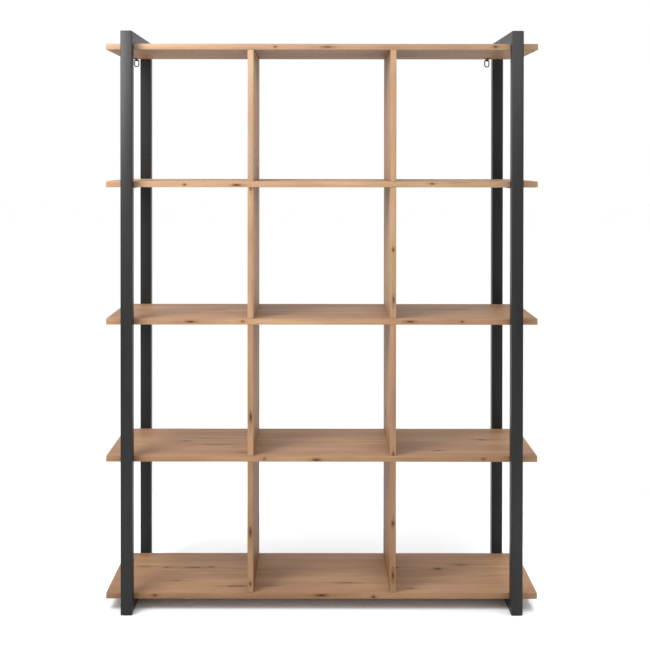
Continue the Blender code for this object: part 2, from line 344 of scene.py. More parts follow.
class Sketch:
    """A short hand for laying out a node tree."""

    def __init__(self, tree: NodeTree) -> None:
        """Starts on an empty tree."""
        self.tree = tree
        tree.nodes.clear()

    def add(self, kind: str, settings: dict | None = None, **inputs: object) -> Node:
        """Adds a node.

        Args:
            kind: the node's type without its ShaderNode prefix.
            settings: properties to set on the node itself.
            inputs: values or sockets for its inputs, by name, with _ for a space.

        Returns:
            The new node.
        """
        prefix = "" if kind.startswith("NodeGroup") else "ShaderNode"
        node = self.tree.nodes.new(prefix + kind)
        for name, value in (settings or {}).items():
            setattr(node, name, value)
        for name, value in inputs.items():
            self.feed(node.inputs[name.replace("_", " ")], value)
        return node

    def feed(self, socket: NodeSocket, value: object) -> None:
        """Links a socket into an input, or sets the input's own value."""
        if isinstance(value, NodeSocket):
            self.tree.links.new(value, socket)
        elif isinstance(value, tuple) and len(value) == 3 and socket.type == "RGBA":
            socket.default_value = (*value, 1)
        else:
            socket.default_value = value

    def wire(self, kind: str, operation: str, values: tuple) -> Node:
        """A node of one operation on the values."""
        node = self.tree.nodes.new(kind)
        node.operation = operation
        for socket, value in zip(node.inputs, values):
            self.feed(socket, value)
        return node

    def math(self, operation: str, *values: object) -> NodeSocket:
        """A Math node's result."""
        return self.wire("ShaderNodeMath", operation, values).outputs[0]

    def times(self, *values: object) -> NodeSocket:
        """The product of two values."""
        return self.math("MULTIPLY", *values)

    def plus(self, *values: object) -> NodeSocket:
        """The sum of two values."""
        return self.math("ADD", *values)

    def madd(self, value: object, factor: object, plus: object) -> NodeSocket:
        """The value times the factor, plus another."""
        return self.math("MULTIPLY_ADD", value, factor, plus)

    def centred(self, value: NodeSocket) -> NodeSocket:
        """The value less a half, for noise to swing about nought."""
        return self.math("SUBTRACT", value, 0.5)

    def vector(self, operation: str, *values: object) -> Node:
        """A Vector Math node."""
        return self.wire("ShaderNodeVectorMath", operation, values)

    def length(self, value: object) -> NodeSocket:
        """A vector's length."""
        return self.vector("LENGTH", value).outputs["Value"]

    def noise(
        self, at: NodeSocket, scale: tuple | float, detail: float, rough: float = 0.5
    ) -> NodeSocket:
        """Noise of one scale, or of a scale along each axis, centred on 0.5."""
        scales = scale if isinstance(scale, tuple) else (scale,) * 3
        place = self.vector("MULTIPLY", at, scales).outputs[0]
        node = self.add("TexNoise", Vector=place, Scale=1.0, Detail=detail, Roughness=rough)
        return node.outputs["Fac"]

    def ramp(
        self, value: NodeSocket, low: float, high: float, first: float = 0.0, last: float = 1.0
    ) -> NodeSocket:
        """A smooth step of the value, from first at low to last at high."""
        node = self.add(
            "MapRange",
            {"interpolation_type": "SMOOTHSTEP"},
            Value=value,
            From_Min=low,
            From_Max=high,
            To_Min=first,
            To_Max=last,
        )
        return node.outputs["Result"]

    def mix(self, factor: object, first: object, second: object, blend: str = "MIX") -> NodeSocket:
        """A colour mix."""
        node = self.tree.nodes.new("ShaderNodeMix")
        node.data_type = "RGBA"
        node.blend_type = blend
        self.feed(node.inputs[0], factor)
        self.feed(node.inputs[6], first)
        self.feed(node.inputs[7], second)
        return node.outputs[2]

    def surface(self, colour: object, dull: object, bump: tuple | None = None, **sockets: float) -> None:
        """Adds the shader and the output.

        Args:
            colour: the base colour.
            dull: the roughness.
            bump: the height, with its strength and its depth in metres, or nothing.
            sockets: values of the shader's other sockets.
        """
        if bump:
            height, strength, depth = bump
            relief = self.add("Bump", Strength=strength, Distance=depth, Height=height)
            sockets = {**sockets, "Normal": relief.outputs[0]}
        shader = self.add("BsdfPrincipled", Base_Color=colour, Roughness=dull, **sockets)
        self.add("OutputMaterial", Surface=shader.outputs[0])


def new_material(name: str) -> tuple[Material, Sketch]:
    """An empty node material and the sketch of its tree."""
    material = bpy.data.materials.new(name)
    material.use_nodes = True
    return material, Sketch(material.node_tree)


@dataclass(frozen=True)
class PrintAndLight:
    """How light and how pale one board's faces and edge bands come out: partly the board's own tone,
    partly painted light, with edge bands paler towards the top where the highlight falls and lower boards
    and dividers darker where shade falls.
    """

    face: float
    face_pale: float
    band: float
    band_pale: float

    def tints(self) -> tuple:
        """The colours that multiply the decor on the edge bands and on the faces."""
        looks = ((self.band, self.band_pale), (self.face, self.face_pale))
        return tuple((tone, tone * (1 + pale / 2), tone * (1 + pale)) for tone, pale in looks)


class Decor(Enum):
    """A printed face of a board, and where its slice of the figure lies."""

    UPPER = 0.0
    LOWER = 1.3
    FRONT = 2.6
    REAR = 3.9
    ENDS = 5.2


@dataclass(frozen=True)
class Knot:
    """One knot: its face, its place along and across the grain, and its size in metres."""

    face: Decor
    along: float
    across: float
    length: float
    width: float
    dark: float = 1.0

    @classmethod
    def several(cls, face: Decor, rows: tuple) -> list["Knot"]:
        """Knots of one face from rows in millimetres, each with its darkness last or left out."""
        return [cls(face, *(value / 1000 for value in row[:4]), *row[4:]) for row in rows]


@dataclass(frozen=True)
class OakDecor:
    """Knotty oak as printed on board: streaked, with pores, arches, knots and cracks."""

    light: tuple = (0.390, 0.235, 0.130)
    middle: tuple = (0.320, 0.184, 0.098)
    streak: tuple = (0.205, 0.110, 0.058)
    blush: tuple = (0.300, 0.155, 0.092)
    heart: tuple = (0.052, 0.021, 0.010)
    ring: tuple = (0.175, 0.078, 0.033)
    gloss: float = 0.12

    def figure_group(self) -> NodeTree:
        """The figure that all boards share.

        Returns:
            A group from the grain's coordinates and the knots' masks to colour, roughness and height.
        """
        group = bpy.data.node_groups.new("oak_figure", "ShaderNodeTree")
        face = group.interface
        face.new_socket("Grain", in_out="INPUT", socket_type="NodeSocketVector")
        for name in ("Heart", "Halo"):
            face.new_socket(name, in_out="INPUT", socket_type="NodeSocketFloat")
        face.new_socket("Color", in_out="OUTPUT", socket_type="NodeSocketColor")
        for name in ("Roughness", "Height"):
            face.new_socket(name, in_out="OUTPUT", socket_type="NodeSocketFloat")
        s = Sketch(group)
        source, out = s.add("NodeGroupInput"), s.add("NodeGroupOutput")
        grain, heart, halo = (source.outputs[i] for i in range(3))

        drift = s.noise(grain, (1.1, 7.0, 1.0), 3.0)
        sway = s.noise(grain, (2.3, 3.0, 1.0), 2.0)
        split = s.add("SeparateXYZ", Vector=grain)
        bent = s.plus(split.outputs[1], s.times(s.centred(sway), 0.09))
        bow = s.times(s.times(bent, bent), 420.0)
        run = s.times(split.outputs[0], 5.0)
        age = s.plus(s.plus(bow, run), s.times(halo, 1.6))
        age = s.plus(age, s.times(drift, 3.0))
        arch = s.madd(s.math("SINE", s.times(age, math.tau)), 0.5, 0.5)
        arch = s.math("POWER", arch, 1.6)

        broad = s.noise(grain, (1.6, 26.0, 1.0), 3.0, 0.55)
        wide = s.noise(grain, (2.6, 110.0, 1.0), 5.0, 0.62)
        fibre = s.noise(grain, (14.0, 900.0, 1.0), 3.0, 0.6)
        pore = s.ramp(s.noise(grain, (55.0, 2300.0, 1.0), 2.0), 0.60, 0.72)
        cloud = s.noise(grain, (2.1, 9.0, 1.0), 3.0)

        tone = s.madd(arch, 0.10, 0.02)
        tone = s.madd(s.centred(wide), 0.70, tone)
        tone = s.madd(s.centred(broad), 0.80, s.plus(tone, 0.60))
        tone = s.madd(s.centred(fibre), 0.24, tone)
        tone = s.madd(s.centred(cloud), 0.45, tone)
        colour = s.mix(s.ramp(tone, 0.42, 0.74), self.light, self.middle)
        colour = s.mix(s.ramp(tone, 0.70, 1.02, 0.0, 0.85), colour, self.streak)
        colour = s.mix(s.ramp(cloud, 0.42, 0.62, 0.0, 0.50), colour, self.blush)
        colour = s.mix(s.times(pore, 0.40), colour, self.streak)
        swirl = s.times(halo, s.madd(arch, 0.35, 0.65))
        colour = s.mix(swirl, colour, self.ring)
        crack = s.ramp(s.noise(grain, (60.0, 420.0, 1.0), 3.0), 0.36, 0.56)
        core = s.times(heart, s.madd(crack, 0.45, 0.55))
        colour = s.mix(core, colour, self.heart)

        dull = s.madd(wide, 0.16, 0.44)
        dull = s.madd(pore, 0.10, dull)
        height = s.madd(pore, -0.7, s.times(fibre, 0.5))
        height = s.madd(core, -0.9, height)
        for socket, value in zip(out.inputs, (colour, dull, height)):
            s.feed(socket, value)
        return group

    def material(self, board: "Board", figure: NodeTree) -> Material:
        """The decor of one board.

        Args:
            board: the board, with its knots, its tints of print tone and painted light, and its place in
                the figure.
            figure: the group that figure_group made.

        Returns:
            The finished material.
        """
        material, s = new_material(board.node + "_oak")
        grain = s.add("Attribute", {"attribute_name": GRAIN}).outputs["Vector"]
        heart: object = 0.0
        halo: object = 0.0
        wobble = s.madd(s.noise(grain, (30.0, 90.0, 1.0), 2.0), 0.9, -0.45)
        for knot in board.knots:
            near = s.vector("SUBTRACT", grain, (knot.along, knot.across, knot.face.value)).outputs[0]
            size = (2 / knot.length, 2 / knot.width, FACE_APART)
            tail = (0.36 / knot.length, 1.1 / knot.width, FACE_APART)
            reach = s.length(s.vector("MULTIPLY", near, size).outputs[0])
            trail = s.length(s.vector("MULTIPLY", near, tail).outputs[0])
            core = s.ramp(s.plus(reach, wobble), 0.30, 1.0, min(1.0, knot.dark * 1.3), 0.0)
            heart = s.math("MAXIMUM", heart, core)
            halo = s.math("MAXIMUM", halo, s.ramp(reach, 0.6, 2.5, min(1.0, knot.dark * 1.1), 0.0))
            halo = s.math("MAXIMUM", halo, s.ramp(trail, 0.1, 1.0, knot.dark * 0.4, 0.0))
        shifted = s.vector("ADD", grain, (board.offset * 1.7, 0.0, board.offset)).outputs[0]
        group = s.add("Group", {"node_tree": figure}, Grain=shifted, Heart=heart, Halo=halo)
        side = s.add("SeparateXYZ", Vector=grain).outputs[2]
        on_face = s.math("COMPARE", side, Decor.LOWER.value / 2, Decor.LOWER.value)
        # The tints are partly the board's own tone and partly painted light: paler towards the top, where
        # the highlight falls, and darker low down, where shade falls.
        tint = s.mix(on_face, *board.look.tints())
        colour = s.mix(1.0, group.outputs["Color"], tint, "MULTIPLY")
        bump = (group.outputs["Height"], 0.35, 0.0004)
        s.surface(colour, group.outputs["Roughness"], bump, Specular_IOR_Level=self.gloss)
        return material


@dataclass(frozen=True)
class PowderCoat:
    """Fine-textured powder coat on steel, with a slight orange peel."""

    colour: tuple = (0.0085, 0.0085, 0.0082)
    worn: tuple = (0.012, 0.012, 0.0115)
    speck: tuple = (0.04, 0.04, 0.041)
    roughness: float = 0.42
    gloss: float = 0.26

    def material(self, name: str) -> Material:
        """The finished material."""
        material, s = new_material(name)
        place = s.add("TexCoord").outputs["Object"]
        peel = s.noise(place, 900.0, 2.0)
        flow = s.noise(place, 260.0, 1.0)
        cloud = s.noise(place, (9.0, 9.0, 2.5), 4.0, 0.6)
        speck = s.ramp(s.noise(place, 2600.0, 1.0), 0.62, 0.75)
        colour = s.mix(s.ramp(cloud, 0.35, 0.7), self.colour, self.worn)
        colour = s.mix(s.times(speck, 0.3), colour, self.speck)
        dull = s.madd(s.centred(cloud), 0.14, self.roughness)
        height = s.madd(flow, 0.8, s.times(peel, 0.5))
        s.surface(colour, dull, (height, 0.25, 0.0002), Specular_IOR_Level=self.gloss)
        return material


@dataclass(frozen=True)
class MouldedPlastic:
    """Black plastic with an eroded mould surface."""

    colour: tuple = (0.018, 0.018, 0.019)
    scuffed: tuple = (0.035, 0.035, 0.036)
    roughness: float = 0.5

    def material(self, name: str) -> Material:
        """The finished material."""
        material, s = new_material(name)
        place = s.add("TexCoord").outputs["Object"]
        spark = s.noise(place, 1600.0, 3.0)
        scuff = s.noise(place, 60.0, 4.0)
        colour = s.mix(s.ramp(scuff, 0.5, 0.75, 0.0, 0.5), self.colour, self.scuffed)
        dull = s.madd(s.centred(scuff), 0.25, self.roughness)
        s.surface(colour, dull, (spark, 0.3, 0.0001))
        return material


@dataclass(frozen=True)
class BlackedSteel:
    """Blacked steel of wire, strip and screws, rubbed paler in places."""

    colour: tuple = (0.008, 0.008, 0.008)
    rubbed: tuple = (0.05, 0.05, 0.048)
    roughness: float = 0.42
    gloss: float = 0.3

    def material(self, name: str) -> Material:
        """The finished material."""
        material, s = new_material(name)
        place = s.add("TexCoord").outputs["Object"]
        rub = s.ramp(s.noise(place, 240.0, 4.0, 0.65), 0.58, 0.78)
        fine = s.noise(place, 1800.0, 2.0)
        colour = s.mix(s.times(rub, 0.5), self.colour, self.rubbed)
        dull = s.madd(fine, 0.16, self.roughness - 0.08)
        s.surface(colour, dull, (fine, 0.2, 0.00005), Specular_IOR_Level=self.gloss)
        return material


@dataclass(frozen=True)
class TurnedBeech:
    """Plain beech of the dowels, with its short flecks upright."""

    colour: tuple = (0.58, 0.40, 0.25)
    fleck: tuple = (0.40, 0.24, 0.14)
    roughness: float = 0.6

    def material(self, name: str) -> Material:
        """The finished material."""
        material, s = new_material(name)
        place = s.add("TexCoord").outputs["Object"]
        grain = s.noise(place, (500.0, 500.0, 25.0), 3.0)
        fleck = s.ramp(s.noise(place, (900.0, 900.0, 140.0), 2.0), 0.58, 0.70)
        colour = s.mix(s.ramp(grain, 0.3, 0.7, 0.0, 0.4), self.colour, self.fleck)
        colour = s.mix(s.times(fleck, 0.6), colour, self.fleck)
        s.surface(colour, self.roughness, (grain, 0.3, 0.0001))
        return material


@dataclass(frozen=True)
class PaleFloor:
    """The studio's white floor with painted shade: darker and cooler near the unit, where its shadow
    falls, and paler away from it so that the far floor lights to pure white.
    """

    near: tuple = (0.91, 0.93, 0.95)
    far: tuple = (0.99, 0.99, 0.99)
    reach: tuple = (0.9, 2.2)

    def material(self, name: str) -> Material:
        """The finished material."""
        material, s = new_material(name)
        place = s.add("TexCoord").outputs["Object"]
        # Painted shade: the darker, bluer floor near the unit cools and deepens its shadow.
        colour = s.mix(s.ramp(s.length(place), *self.reach), self.near, self.far)
        s.surface(colour, 0.9, Specular_IOR_Level=0.1)
        return material


class Finishes:
    """Every finish of the unit, made once. Those of modelled pieces come with their slot."""

    def __init__(self) -> None:
        """Builds the shared figure and the plain finishes."""
        self.oak = OakDecor()
        self.figure = self.oak.figure_group()
        self.coat = PowderCoat().material("anthracite_powder_coat"), "frame_steel"
        self.plastic = MouldedPlastic().material("black_moulded_plastic"), "black_plastic"
        self.blacked = BlackedSteel().material("blacked_steel"), "hanger_steel"
        self.beech = TurnedBeech().material("turned_beech")


# ---------- boards


class Grain(Enum):
    """Which way a board's grain runs, as the index of its long axis."""

    ALONG = 0
    UPRIGHT = 2


@dataclass
class Board:
    """A decor board with rounded edge bands, its bores and its printed grain."""

    node: str
    grain: Grain
    knots: list[Knot]
    offset: float
    bores: list[tuple[Vector, Vector, float]]
    look: PrintAndLight
    edge_radius: float = 0.0011
    edge_segments: int = 3
    band: float = 0.0012
    seam: float = 0.00012

    def build(self) -> Object:
        """Models the board.

        Returns:
            The finished mesh object, without its material.
        """
        low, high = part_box(self.node)
        piece = block(self.node + "_board", low, high)
        round_edges(piece, self.edge_radius, self.edge_segments)
        self.score_band_seams(piece)
        if self.bores:
            cut(piece, [rod("bore", start, end, radius, 16) for start, end, radius in self.bores])
        self.print_grain(piece, low, high)
        smooth(piece)
        return piece

    def flat_axis(self) -> int:
        """The axis through the board's thickness."""
        return 2 if self.grain is Grain.ALONG else 0

    def score_band_seams(self, piece: Object) -> None:
        """Scores the hairline between the edge bands and both broad faces."""
        axis = self.flat_axis()
        with editing(piece):
            for sign in (-1, 1):
                choose(piece, Pick.FACE, lambda centre, normal, sign=sign: normal[axis] * sign > 0.999)
                bpy.ops.mesh.inset(thickness=self.band)
                bpy.ops.mesh.inset(thickness=self.seam, depth=-self.seam)
                bpy.ops.mesh.inset(thickness=self.seam, depth=self.seam)

    def print_grain(self, piece: Object, low: Vector, high: Vector) -> None:
        """Stores each face corner's place along and across the grain, and its face's slice.

        Args:
            piece: the board.
            low: the board's lowest corner.
            high: the board's highest corner.
        """
        mesh = piece.data
        middle = (low + high) / 2
        printed = mesh.attributes.new(GRAIN, "FLOAT_VECTOR", "CORNER")
        for face in mesh.polygons:
            decor, along, across = self.face_axes(face.normal)
            for corner in face.loop_indices:
                point = mesh.vertices[mesh.loops[corner].vertex_index].co
                across_at = point[across] - middle[across]
                printed.data[corner].vector = (point[along], across_at, decor.value)

    def face_axes(self, normal: Vector) -> tuple[Decor, int, int]:
        """The decor slice of a face, and the axes along and across its grain."""
        flat, long = self.flat_axis(), self.grain.value
        main = max(range(3), key=lambda axis: abs(normal[axis]))
        if main == flat:
            return (Decor.UPPER if normal[flat] > 0 else Decor.LOWER), long, 1
        if main == 1:
            return (Decor.FRONT if normal[1] < 0 else Decor.REAR), long, flat
        return Decor.ENDS, 1, flat

    def make(self, finishes: Finishes) -> None:
        """Models the board and gives it its own decor."""
        decor = finishes.oak.material(self, finishes.figure)
        fit(self.build(), (decor, "oak_board"), [self.node])


# Each knot in millimetres: its place along and across the grain, its length and width; then its darkness.
SHELF_FRONT_KNOTS = (
    ((-501, 1, 12, 6), (0, 1, 34, 7), (156, -3, 10, 7)),
    ((-172, 0, 9, 7), (-15, -3, 24, 7), (485, 0, 12, 6)),
    ((-393, 0, 30, 6), (-237, 1, 10, 6), (265, 0, 30, 6), (421, 0, 10, 6)),
    ((-412, -1, 9, 6), (-255, -2, 30, 6), (330, 2, 12, 5)),
    ((-140, 0, 9, 6), (16.5, -1, 32, 6), (519, 0, 12, 6)),
)
SHELF_UPPER_KNOTS = (
    (
        (-495, 40, 26, 10, 0.6), (-406.5, 38, 55, 10, 0.6), (-353, 41, 24, 11, 0.75),
        (-565, 45, 50, 12, 0.35), (-448, -72, 22, 9, 0.4), (-255, -116, 85, 10, 0.6),
        (-153, -112, 50, 9, 0.3), (74, -88, 75, 10, 0.5), (272, -135, 30, 10, 0.6),
        (236, 40, 22, 12, 0.6), (369.5, 27, 24, 16, 0.9), (448, 61, 55, 22, 0.35),
    ),
    (
        (-428, 6, 30, 10, 0.6), (-332, -36, 110, 12, 0.5), (-238.7, -129, 50, 9, 0.5),
        (506.5, 24, 40, 12, 0.6), (356.7, -106, 35, 10, 0.6),
    ),
    ((-331, 19, 50, 12, 0.6), (439, 42, 50, 12, 0.6)),
    ((100, 50, 50, 14, 0.7), (-450, -30, 60, 12, 0.7)),
    (
        (-360, 60, 50, 16, 0.8), (120, -70, 40, 14, 0.8),
        (410, 20, 60, 14, 0.7), (-80, 100, 90, 10, 0.5),
    ),
)
DIVIDER_FRONT_KNOTS = {
    "left": (((237, 0, 28, 8), (81, 0, 10, 7)), ((582, 1, 30, 8),), ((1270, 1, 12, 7),), ()),
    "right": (
        ((264, 0, 14, 7), (108, 0, 36, 8)),
        ((472, 1, 14, 7),),
        ((1086, 0, 12, 7), (935, 1, 30, 7, 0.7)),
        (),
    ),
}
DIVIDER_INNER_KNOTS = {
    "left": (
        ((180, 120, 20, 40, 0.8),),
        ((853, 80, 45, 50, 0.8), (550, 100, 40, 40, 0.7)),
        ((1256, 50, 32, 50, 0.9),),
        ((1640, 50, 50, 50, 0.9), (1320, 80, 25, 40, 0.6)),
    ),
    "right": (
        ((446, 50, 30, 40, 0.4),),
        ((853, 50, 60, 40, 0.8), (545, 50, 35, 40, 0.8)),
        ((1250, 0, 32, 50, 0.9), (940, 30, 30, 30, 0.4)),
        ((1660, 50, 30, 40, 0.4),),
    ),
}


@dataclass
class Shelving:
    """The five shelves and the eight dividers."""

    # Tints of each board, partly its own tone and partly painted light: edge bands paler towards the top,
    # where the highlight falls; lower shelf edges and lower dividers darker, where shade falls.
    shelf_prints_and_light: tuple = (
        PrintAndLight(0.93, 0.00, 0.73, -0.04),
        PrintAndLight(0.92, 0.02, 0.83, 0.02),
        PrintAndLight(0.81, 0.01, 0.97, 0.04),
        PrintAndLight(1.03, 0.15, 0.98, 0.16),
        PrintAndLight(0.77, -0.12, 0.85, 0.26),
    )
    left_prints_and_light: tuple = (
        PrintAndLight(0.71, -0.42, 0.75, -0.06),
        PrintAndLight(0.98, -0.14, 0.87, 0.02),
        PrintAndLight(1.12, -0.01, 0.92, 0.09),
        PrintAndLight(1.12, -0.04, 0.91, 0.36),
    )
    right_prints_and_light: tuple = (
        PrintAndLight(0.77, -0.42, 0.78, 0.01),
        PrintAndLight(0.93, -0.16, 0.88, 0.07),
        PrintAndLight(0.98, -0.01, 0.86, 0.11),
        PrintAndLight(0.84, 0.0, 0.90, 0.12),
    )
    dowel_play: float = 0.0002
    pilot_radius: float = 0.0015
    pilot_depth: float = 0.012

    def build(self, finishes: Finishes) -> None:
        """Makes and dresses every board, and dresses the dowels inside them."""
        for level, name in enumerate(LEVELS):
            knots, bores = self.shelf_knots(level), self.shelf_bores(level)
            offset, look = 7.0 + 11.3 * level, self.shelf_prints_and_light[level]
            Board(name, Grain.ALONG, knots, offset, bores, look).make(finishes)
        for row in ROWS:
            for side, prints_and_light in zip(SIDES, (self.left_prints_and_light, self.right_prints_and_light)):
                name = f"divider_row{row}_{side}"
                offset = 80.0 + 9.1 * row + (4.3 if side == "right" else 0.0)
                bores = self.dowel_bores((LEVELS[row - 1], LEVELS[row]), side)
                knots = self.divider_knots(row, side)
                Board(name, Grain.UPRIGHT, knots, offset, bores, prints_and_light[row - 1]).make(finishes)
        for name, side, face in product(LEVELS, SIDES, FACES):
            dowel = bpy.data.objects[f"dowel_{name}_{side}_{face}"]
            dowel.data.materials.clear()
            dowel.data.materials.append(finishes.beech)

    def dowel_bores(self, levels: tuple[str, ...], side: str) -> list[tuple[Vector, Vector, float]]:
        """The bores of the dowels at these levels on one side."""
        bores = []
        for level, face in product(levels, FACES):
            low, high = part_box(f"dowel_{level}_{side}_{face}")
            middle = (low + high) / 2
            reach = Vector((0, 0, self.dowel_play + (high.z - low.z) / 2))
            bores.append((middle - reach, middle + reach, (high.y - low.y) / 2 + self.dowel_play))
        return bores

    def shelf_bores(self, level: int) -> list[tuple[Vector, Vector, float]]:
        """A shelf's dowel bores and the pilot holes of the screws that hold it."""
        name = LEVELS[level]
        bores = [bore for side in SIDES for bore in self.dowel_bores((name,), side)]
        low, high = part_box(name)
        height, inward = (high.z, -1) if name == LEVELS[-1] else (low.z, 1)
        for side, face in product(SIDES, FACES):
            at = middle_of(f"{side}_{face}_cap")
            mouth, up = Vector((at.x, at.y, height)), Vector((0, 0, inward))
            bores.append((mouth - up * OVERCUT, mouth + up * self.pilot_depth, self.pilot_radius))
        return bores

    @staticmethod
    def shelf_knots(level: int) -> list[Knot]:
        """The knots of one shelf, on its front edge, its faces and its rear edge."""
        shift = 0.17 * level
        return [
            *Knot.several(Decor.FRONT, SHELF_FRONT_KNOTS[level]),
            *Knot.several(Decor.UPPER, SHELF_UPPER_KNOTS[level]),
            Knot(Decor.LOWER, -0.42 + shift, 0.05, 0.06, 0.014, 0.8),
            Knot(Decor.LOWER, 0.18 + shift / 2, -0.06, 0.05, 0.012, 0.8),
            Knot(Decor.REAR, -0.3 + shift, 0.0, 0.03, 0.006),
            Knot(Decor.REAR, 0.22 - shift / 2, 0.001, 0.012, 0.007),
        ]

    @staticmethod
    def divider_knots(row: int, side: str) -> list[Knot]:
        """The knots of one divider, on its front edge, both faces and its rear edge."""
        low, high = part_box(f"divider_row{row}_{side}")
        rise = high.z - low.z
        faces = (Decor.UPPER, Decor.LOWER)
        inward, outward = faces if side == "left" else reversed(faces)
        lean = (0.03 if side == "left" else -0.05) + 0.13 * math.sin(2.4 * row)
        return [
            *Knot.several(Decor.FRONT, DIVIDER_FRONT_KNOTS[side][row - 1]),
            *Knot.several(inward, DIVIDER_INNER_KNOTS[side][row - 1]),
            Knot(outward, low.z + rise * (0.15 + 0.15 * row), lean, 0.045, 0.014, 0.8),
            Knot(outward, low.z + rise * (0.93 - 0.19 * row), -0.05 - lean / 2, 0.028, 0.010, 0.7),
            Knot(Decor.REAR, low.z + rise * 0.4, 0.0, 0.02, 0.006),
        ]


# ---------- steel side frames


@dataclass
class SideFrame:
    """One closed frame of mitred square tube with its bearers and their welds."""

    side: str
    corner: float = 0.003
    corner_segments: int = 5
    arris: float = 0.0006
    wall: float = 0.0015
    access_radius: float = 0.0055
    screw_radius: float = 0.0025
    stem_radius: float = 0.0041
    stem_depth: float = 0.012
    bead: float = 0.0021
    bead_ripples: int = 13
    bead_waist: float = 0.84

    def nodes(self) -> list[str]:
        """The CAD nodes of the welded loop."""
        return [f"{self.side}_{part}" for part in ("front_post", "rear_post", "top_rail", "bottom_rail")]

    def outer_box(self) -> tuple[Vector, Vector]:
        """The loop's lowest and highest corners."""
        lows, highs = zip(*(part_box(node) for node in self.nodes()))
        low = Vector(min(corner[axis] for corner in lows) for axis in range(3))
        high = Vector(max(corner[axis] for corner in highs) for axis in range(3))
        return low, high

    def build_loop(self) -> Object:
        """Models the closed loop of tube.

        A block the size of the frame is inset on both sides by the tube's width and opened through,
        which leaves the mitres in its faces. Its long edges take the tube's corner radius.

        Returns:
            The finished loop, without its material.
        """
        low, high = self.outer_box()
        tube = high.x - low.x
        piece = block(f"{self.side}_side_frame", low, high)
        with editing(piece):
            choose(piece, Pick.FACE, lambda centre, normal: abs(normal.x) > 0.9)
            bpy.ops.mesh.inset(thickness=tube)
            bpy.ops.mesh.bridge_edge_loops()
            choose(piece, Pick.EDGE, self.is_tube_edge)
            bpy.ops.mesh.bevel(offset=self.corner, segments=self.corner_segments, profile=0.5)
            bpy.ops.mesh.select_all(action="SELECT")
            bpy.ops.mesh.normals_make_consistent(inside=False)
        round_edges(piece, self.arris, 2, 60.0)
        self.bore_rails(piece, low, high)
        smooth(piece, 35.0)
        return piece

    @staticmethod
    def is_tube_edge(first: Vector, second: Vector) -> bool:
        """Whether an edge runs along a tube: upright or level, and in a side face of the frame."""
        run = second - first
        return max(abs(run.z), abs(run.y)) > 0.9 * run.length

    def bore_rails(self, piece: Object, low: Vector, high: Vector) -> None:
        """Bores the access holes, the screw holes and the glides' stem holes."""
        cutters = []
        tube = high.x - low.x
        for face in FACES:
            at = middle_of(f"{self.side}_{face}_cap")
            foot = middle_of(f"{self.side}_{face}_glide")
            for edge, inward in ((high.z, -1), (low.z, 1)):
                seat = edge + inward * (tube - self.wall)
                start, end = seat - inward * OVERCUT, edge + inward * (tube + OVERCUT)
                cutters.append(pin(at, edge - inward * OVERCUT, seat, self.access_radius, 32))
                cutters.append(pin(at, start, end, self.screw_radius, 16))
            cutters.append(pin(foot, low.z - OVERCUT, low.z + self.stem_depth, self.stem_radius, 24))
        cut(piece, cutters)

    def build_bearer(self, level: str) -> Object:
        """Models one flat bearer with its two screw holes."""
        low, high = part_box(f"{self.side}_bearer_{level}")
        piece = block(f"{self.side}_{level}_bearer_bar", low, high)
        round_edges(piece, self.arris, 2)
        holes = [middle_of(f"{self.side}_{face}_cap") for face in FACES]
        cut(piece, [pin(at, low.z - OVERCUT, high.z + OVERCUT, self.screw_radius, 20) for at in holes])
        smooth(piece)
        return piece

    def build_bead(self, width: float) -> Object:
        """Models a rippled fillet weld along X at the origin.

        Args:
            width: the bead's length.

        Returns:
            The bead, to be copied into the corners under the bearers.
        """
        reach = Vector((width / 2, 0, 0))
        piece = rod("bead", -reach, reach, self.bead, 14)
        pitch = width / (self.bead_ripples + 1)
        with editing(piece):
            choose(piece, Pick.EDGE, lambda first, second: abs((second - first).x) > width / 2)
            bpy.ops.mesh.subdivide(number_cuts=self.bead_ripples)
            choose(piece, Pick.VERTEX, lambda point: round((point.x + width / 2) / pitch) % 2 == 0)
            waist = (1.0, self.bead_waist, self.bead_waist)
            bpy.ops.transform.resize(value=waist, center_override=(0, 0, 0))
        smooth(piece, 60.0)
        return piece

    def build(self, finishes: Finishes) -> None:
        """Makes and dresses the loop, its bearers and their welds."""
        fit(self.build_loop(), finishes.coat, self.nodes())
        low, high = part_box(f"{self.side}_bearer_{LEVELS[1]}")
        bead = self.build_bead((high.x - low.x) * 0.9)
        for level in LEVELS[1:-1]:
            fit(self.build_bearer(level), finishes.coat, [f"{self.side}_bearer_{level}"])
            low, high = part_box(f"{self.side}_bearer_{level}")
            for face, y in zip(FACES, (low.y, high.y)):
                place = Vector(((low.x + high.x) / 2, y, low.z))
                weld = copy_piece(bead, f"{self.side}_{level}_{face}_weld", place)
                fit(weld, finishes.coat)
        bpy.data.objects.remove(bead)


# ---------- small fittings


@dataclass
class PanScrew:
    """A pan-head screw with a cross recess, pointing up from under its head."""

    head_radius: float = 0.0042
    head_height: float = 0.0022
    shank_radius: float = 0.0014
    recess: float = 0.0011
    recess_width: float = 0.0009

    def build(self, length: float) -> Object:
        """Models the screw with its head's bearing face at z = 0, its head below and its shank above.

        Args:
            length: the shank's length.

        Returns:
            The screw at the origin, to be copied.
        """
        piece = pin(Vector(), -self.head_height, 0.0, self.head_radius, 24, "screw")
        tip = length * 0.12
        with editing(piece):
            steps = ((length - tip, 1.0), (tip, 0.2))
            draw_out(piece, 1, self.head_radius - self.shank_radius, steps)
            round_rim(piece, -self.head_height, self.head_height * 0.7, 4)
        self.cut_recess(piece)
        smooth(piece, 40.0)
        return piece

    def cut_recess(self, piece: Object) -> None:
        """Cuts the cross into the head's underside."""
        long, short = self.head_radius * 0.52, self.recess_width / 2
        low, high = -self.head_height - OVERCUT, -self.head_height + self.recess
        for x, y, top in ((long, short, high), (short, long, high + 0.0001)):
            cut(piece, [block("bar", Vector((-x, -y, low)), Vector((x, y, top)))])


